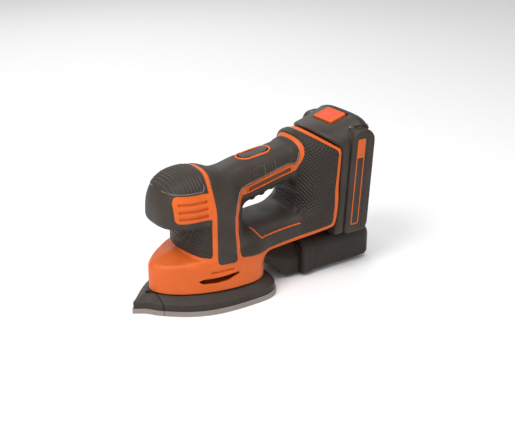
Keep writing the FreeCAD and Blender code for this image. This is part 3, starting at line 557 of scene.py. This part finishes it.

# a fine raised lip runs just inside the lower edge of the handle grip and of the palm pad, and
# a row of fins stands below the switch; their pale grey is a painted highlight on these edges and crests
grip_lip = np.maximum(np.abs(grip_region + 1.3) - 0.32, np.maximum(88 - gz, 18 - gx))
grip_lip = np.maximum(grip_lip, gz - 123.0)
pad_lip = np.maximum(np.abs(pad_region + 0.3) - 0.35, gx + 7.5)
fins = np.maximum(hand_zone, fin_row * 0.92 - 0.32)
lip_region = np.minimum(np.minimum(grip_lip, pad_lip), fins)
i, k = crop(lip_region)
lip_field = meet(body[i, :, k] - 1.35, lip_region[i, :, k], 0.15)
lip_field = np.maximum(lip_field, -(body[i, :, k] + 0.6))
lip = solid("lips_and_fins_painted_highlight", np.maximum(lip_field, gy + 8.0), gx[i], gy, gz[..., k])
# pale grey colour: painted highlight standing in for light catching the lip edges and fin crests
lip.data.materials.append(surface("lip_painted_highlight", (0.16, 0.145, 0.135), 0.42))
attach(lip, "housing")

# a thin bent orange stripe lies in a groove on the frame skin
stripe_field = np.maximum(np.abs(body) - 0.35, accent - STRIPE_HALF_WIDTH)
stripe_field = np.maximum(stripe_field, gy + 20)
i, k = crop(accent)
stripe = solid("frame_stripe", stripe_field[i, :, k], gx[i], gy, gz[..., k])
stripe.data.materials.append(orange)
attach(stripe, "housing")

# ------------------------------------------------------------------ badges
# A long blank badge with an orange outline lies on each side of the handle.
BADGE = [(40.0, 95.2), (88.4, 105.7), (88.2, 112.2), (39.8, 101.6)]
badge_region = side(BADGE, 2.5)
ring = np.abs(badge_region + 0.6) - 0.6
i, k = crop(badge_region)
rim_field = meet(body[i, :, k] - 1.2, ring[i, :, k], 0.3)
rim_field = np.maximum(rim_field, -(body[i, :, k] + 1.0))
badge_rim = solid("badge_rims", rim_field, gx[i], gy, gz[..., k])
badge_rim.data.materials.append(orange)
fill_field = meet(body[i, :, k] - 0.5, badge_region[i, :, k] + 1.1, 0.2)
fill_field = np.maximum(fill_field, -(body[i, :, k] + 1.0))
badge_fill = solid("badge_faces", fill_field, gx[i], gy, gz[..., k])
badge_fill.data.materials.append(surface("badge_face", (0.10, 0.035, 0.02), 0.45))
for badge in (badge_rim, badge_fill):
    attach(badge, "housing")


# ------------------------------------------------------------------ switch
# A slide switch sits in an oval orange rim on top of the handle: a soft boot with raised pads
# at both ends and a dished middle.
reach_x = np.searchsorted(gx.ravel(), (switch_at - 24, switch_at + 24))
over = (slice(*reach_x), slice(np.searchsorted(gy.ravel(), -14), None),
        slice(np.searchsorted(gz.ravel(), SWITCH_FLOOR - 4), None))
sx, sy, sz = gx[over[0]], gy[:, over[1]], gz[..., over[2]]
top_side = body[over]
oval = switch_oval(sx, sy)
rim = meet(np.abs(top_side - 0.2) - 1.2, np.abs(oval + 0.9) - 0.9, 0.35)
rim = np.maximum(rim, SWITCH_FLOOR - sz)
bezel = solid("switch_rim", rim, sx, sy, sz)
bezel.data.materials.append(orange)
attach(bezel, "housing")
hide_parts("switch_bezel")
pads = np.abs(np.sin(math.pi * (sx - switch_at) / 3.4))
dish = 1.6 * np.exp(-((sx - switch_at) / 8.0) ** 2) - 0.5 * (1 - pads) ** 1.5
boot = meet(np.abs(top_side - 0.1 + dish) - 1.5, oval + 2.9, 0.7)
boot = np.maximum(boot, SWITCH_FLOOR - sz)
rocker = solid("switch_boot", boot, sx, sy, sz)
rocker.data.materials.append(surface("switch_rubber", (0.045, 0.037, 0.033), 0.45))
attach(rocker, "power_switch")
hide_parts("switch_rocker")

# ------------------------------------------------------------------ battery pack
# The pack leans back a little and carries on the tower's dome behind the orange trim. Its
# shells meet at a seam near the back, a long raised panel on each side holds an orange label
# frame, and a red-orange release button lies on the slope in front of a finger scoop.
bx = line(108, 172)[:, None, None]
by = line(-43, 0)[None, :, None]
bz = line(36, 152)[None, None, :]


def pack_side(points, radius=3.0):
    return outline_distance(filleted(points, radius), bx[:, 0, :], bz[:, 0, :])[:, None, :]


SEAT_GAP = 0.9
PACK = [(126.0 + SEAT_GAP, 38.9), (131.6 + SEAT_GAP, 124.2), (111.2, 139.0), (112.5, 140.2), (135, 142.2),
        (154, 147.4), (158.5, 148.6), (163.5, 147.6), (166.3, 144.0), (167.2, 136), (165.8, 120),
        (161.3, 40), (158, 38.4), (130, 38.4)]
BULGE = [(136.5, 41), (142.5, 131), (147, 137.5), (161, 138.6), (168.6, 131), (163.0, 44), (159, 38.6),
         (139, 38.6)]
profile = pack_side(PACK, 2.0)
bulge_region = pack_side(BULGE, 7.0)
flat = np.clip((bx - 112) / 45, 0, 1)
crown_fall = 15.0 * (np.abs(by) / 38.5) ** (1.45 + 2.3 * flat)
(crown_top,) = along(bx, [(108, 138.6), (112.5, 139.4), (135, 142.2), (154, 147.4), (158.5, 148.6),
                          (163.5, 147.8), (172, 145)])
pack = meet(profile, np.abs(by) - 38.3, 5.0)
pack = meet(pack, (bz - crown_top + crown_fall) * 0.92, 5.0)
around = np.abs(bulge_region - 0.9)
pack = np.maximum(pack, -np.maximum(around - 0.9, -(pack + 1.6)))
bulge = meet(bulge_region, np.abs(by) - 40.6, 2.2)
pack = np.minimum(pack, bulge)
seam_line = path_distance([(156.5, 150), (158.6, 146), (160.5, 137), (154.6, 38)], bx[:, 0, :],
                          bz[:, 0, :])[:, None, :]
seam_cut = np.maximum(seam_line - 0.45, -(pack + 1.0))
pack = np.maximum(pack, -np.where(bulge_region < 1.0, 9.0, seam_cut))
scoop = meet(meet(np.abs(bx - 155.3) - 2.6, np.abs(by) - 14.5, 1.0), 142.5 - bz, 0.5)
pack = np.maximum(pack, -scoop)
slope_angle = math.atan2(147.4 - 142.2, 154 - 135)
button_middle = sum(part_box("release_button"), Vector()) * 500
along_slope = (bx - button_middle.x) * math.cos(slope_angle) + (bz - 144.8) * math.sin(slope_angle)
square = meet(np.abs(along_slope) - 9.6, np.abs(by) - 13.2, 2.0)
hollow_pack = np.maximum(pack, -(pack + 2.4))
hollow_pack = np.maximum(hollow_pack, -np.maximum(square - 0.5, 130 - bz))
front_half = np.maximum(hollow_pack, bx - 157.0 - (bz - 95) * 0.055)
rear_half = np.maximum(hollow_pack, 157.05 + (bz - 95) * 0.055 - bx)
for name, field in (("battery_front_shell", front_half), ("battery_rear_shell", rear_half)):
    half_pack = solid(f"{name}_look", field, bx, by, bz)
    half_pack.data.materials.append(shell_dark)
    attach(half_pack, "battery")
    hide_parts(name)

LABEL = [(141.8, 47.5), (150.8, 47.5), (156.6, 130.5), (147.6, 130.5)]
label_region = pack_side(LABEL, 1.6)
skin_here = np.abs(np.abs(by) - 40.7) - 0.6
frame_ring = np.abs(label_region + 0.55) - 0.55
upper = np.maximum(label_region, 112.5 - bz)
label_field = np.maximum(skin_here, np.minimum(frame_ring, upper))
labels = solid("battery_labels", label_field, bx, by, bz)
labels.data.materials.append(orange)
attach(labels, "battery")

red_orange = surface("button_red", (0.74, 0.066, 0.012), 0.5, mottle=0.02)
button_top = (bz - 144.8) * math.cos(slope_angle) - (bx - button_middle.x) * math.sin(slope_angle)
button_form = meet(square + 0.1, np.abs(button_top + 1.6) - 1.9, 0.5)
button_field = np.maximum(button_form, -np.maximum(square + 1.9, -(button_top + 0.5)))
button = solid("button_rim", np.maximum(button_field, -(square + 1.9)), bx, by, bz)
button.data.materials.append(orange)
plate_field = meet(square + 1.8, np.abs(button_top + 1.9) - 1.9, 0.4)
button_plate = solid("button_plate", plate_field, bx, by, bz)
button_plate.data.materials.append(red_orange)
for thing in (button, button_plate):
    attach(thing, "battery_button")
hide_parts("release_button")

# ------------------------------------------------------------------ dust canister and duct
# A faceted duct leads dust from the skirt to a thin-walled rounded canister with a raised rim.
# The canister pulls off rearwards; its mouth fits over the duct's spigot.
cx = line(46, 184)[:, None, None]
cy = line(-32, 0)[None, :, None]
cz = line(0, 46)[None, None, :]
near, far = (corner * 1000 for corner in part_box("dust_canister"))
duct_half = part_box("dust_duct")[1].y * 1000
section = meet(np.abs(cy) - far.y - 0.2, cz - far.z, 12.0)
section = meet(section, near.z - 1.4 - cz, 4.0)
canister = meet(section, cx - far.x - 1.8, 9.0)
canister = meet(canister, near.x - cx, 0.8)
mouth = np.maximum(np.abs(cy) - duct_half + 2.5, np.abs(cz - 19.5) - 12.0)
mouth = np.maximum(mouth, cx - near.x - 8)
hollow_canister = np.maximum(np.maximum(canister, -(canister + 2.2)), -mouth)
rim_run = np.abs(cx - near.x - 6.2) - 5.4
rim_ring = np.maximum(meet(section - 1.2, rim_run, 1.0), -(section + 0.05))
upward = np.clip((84 - cx) / 24, 0, 1)
duct_side = np.abs(cy) - duct_half + 5 * upward
facet = duct_side * 0.75 + (cz - 19 - 10 * upward) * 0.66
duct = meet(meet(duct_side, facet, 0.8), cz - 39.5, 1.0)
duct = meet(duct, np.maximum(3.2 - cz, (83.2 - cx) * 0.61 - (cz - 3.2) * 0.79), 0.8)
duct = np.maximum(np.maximum(duct, cx - near.x + 0.4), 49 - cx)
spigot = np.maximum(np.abs(cy) - duct_half + 3, np.abs(cz - 19.5) - 11.0)
spigot = np.maximum(spigot, np.abs(cx - near.x - 3) - 4)
duct = np.minimum(np.maximum(duct, -(duct + 2.0)), np.maximum(spigot, -(spigot + 2.0)))
duct = np.maximum(duct, -(spigot + 2.0))
duct = np.maximum(duct, 0.3 - housing_field(cx, cy, cz))
# the canister's dotted finish carries painted shade in the hollows between its dots
textured = surface("canister_charcoal", CHARCOAL, 0.5, relief=dots(0.0017), depth=0.0003)
for name, field, body_name in (("dust_canister", hollow_canister, "canister"),
                               ("canister_rim", rim_ring, "canister"),
                               ("dust_duct", duct, "housing")):
    thing = solid(f"{name}_look", field, cx, cy, cz)
    thing.data.materials.append(textured)
    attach(thing, body_name)
    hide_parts(name)

# ------------------------------------------------------------------ plain CAD pieces
# Everything else keeps its own engineered shape and only takes a finish.
steel = surface("bright_steel", (0.56, 0.57, 0.58), 0.3, metallic=1.0, grain=(2500, 0.03))
zinc = surface("zinc_steel", (0.46, 0.46, 0.45), 0.42, metallic=1.0)
brass = surface("brass", (0.78, 0.57, 0.25), 0.32, metallic=1.0)
copper = surface("copper", (0.72, 0.38, 0.2), 0.35, metallic=1.0)
alloy = surface("cast_alloy", (0.7, 0.7, 0.71), 0.45, metallic=1.0, grain=(900, 0.2))
carbon = surface("black_nylon", (0.03, 0.03, 0.03), 0.55)
FINISHES = {
    "orange_shell": orange, "dark_grip": grip_dark, "dark_shell": shell_dark,
    "button": red_orange, "switch_dark": carbon, "carbon": carbon, "steel": steel,
    "zinc_steel": zinc, "brass": brass, "copper": copper, "aluminium": alloy,
    "platen_dark": surface("glass_filled_nylon", (0.036, 0.028, 0.022), 0.55),
    "hook_grey": surface("hook_foam", (0.31, 0.265, 0.24), 0.9, grain=(2600, 0.6), depth=0.0004),
    "abrasive": surface("abrasive_sheet", (0.31, 0.265, 0.24), 0.92, grain=(5000, 0.9)),
    "magnet": surface("ferrite", (0.12, 0.12, 0.13), 0.6),
    "nylon": surface("natural_nylon", (0.72, 0.7, 0.62), 0.45),
    "board": surface("laminate", (0.03, 0.2, 0.08), 0.35, coat=0.3),
    "wire": surface("wire_sleeve", (0.6, 0.05, 0.04), 0.4),
    "cell": surface("cell_sleeve", (0.12, 0.25, 0.4), 0.35, coat=0.2),
    "filter_paper": surface("filter_paper", (0.8, 0.77, 0.68), 0.9, grain=(3000, 0.4)),
}
slots_of = {part["node"]: part["material_slot"] for part in frame["record"]["subparts"]}
for node, thing in frame["nodes"].items():
    thing.data.materials.clear()
    thing.data.materials.append(FINISHES[slots_of[node]])
